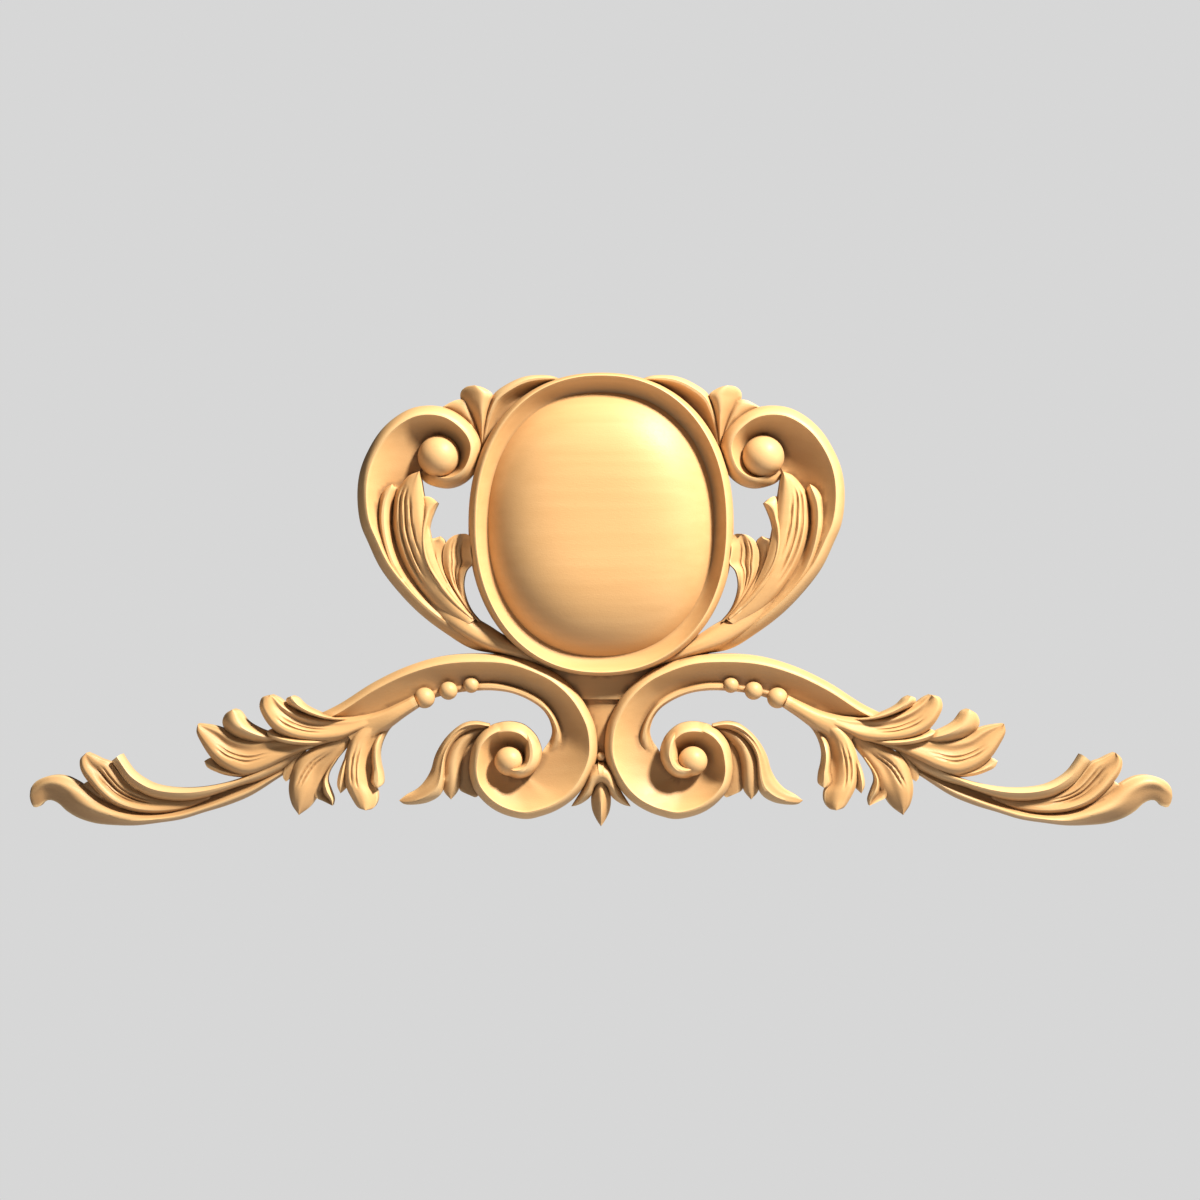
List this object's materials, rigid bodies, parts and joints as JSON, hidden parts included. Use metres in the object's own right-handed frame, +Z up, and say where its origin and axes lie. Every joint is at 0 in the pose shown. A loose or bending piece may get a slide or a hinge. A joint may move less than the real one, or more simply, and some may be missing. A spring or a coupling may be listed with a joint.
{
  "type": "carved cartouche",
  "caption": "Openwork carved wooden overlay: a blank domed oval in a moulded rim, with mirrored scrolls, volutes, acanthus sprays and curled tails, flat at the back.",
  "frame": {"origin": "on the flat back, behind the centre of the oval", "axes": "+Z up, +X to the viewer's right as seen from the front, the carved front faces -Y"},
  "size_m": [0.8008, 0.04, 0.317],
  "materials": {
    "carved_wood": "satin"
  },
  "bodies": {
    "root": {"carved_cartouche": "carved_wood"}
  },
  "joints": []
}
